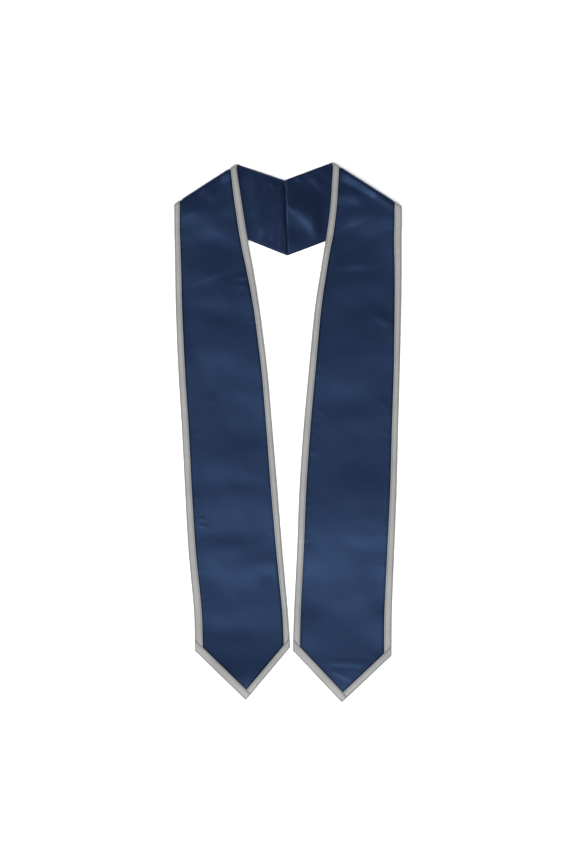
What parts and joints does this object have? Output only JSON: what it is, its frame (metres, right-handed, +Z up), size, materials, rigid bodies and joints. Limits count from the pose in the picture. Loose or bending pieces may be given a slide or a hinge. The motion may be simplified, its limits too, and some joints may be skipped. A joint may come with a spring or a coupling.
{
  "type": "graduation stole",
  "caption": "Navy satin stole with grey satin trim and pointed ends, laid flat face up with its back folded underneath.",
  "frame": {"origin": "middle of the outline on the surface that the stole lies on", "axes": "+Y runs from the points to the neck, +X to the right seen from above, +Z up out of the faces of the front panels"},
  "size_m": [0.349, 0.826, 0.0126],
  "materials": {
    "navy_satin_face": "polyester satin, soft sheen",
    "navy_satin_lining": "polyester satin, inside of the stole",
    "grey_satin_trim": "grey satin ribbon, fine grain"
  },
  "bodies": {
    "root": {"left_face": "navy_satin_face", "left_lining": "navy_satin_lining", "left_neck_trim": "grey_satin_trim", "left_outer_trim": "grey_satin_trim", "left_point_trim_outer": "grey_satin_trim", "left_point_trim_neck": "grey_satin_trim", "right_face": "navy_satin_face", "right_lining": "navy_satin_lining", "right_neck_trim": "grey_satin_trim", "right_outer_trim": "grey_satin_trim", "right_point_trim_outer": "grey_satin_trim", "right_point_trim_neck": "grey_satin_trim"}
  },
  "joints": []
}
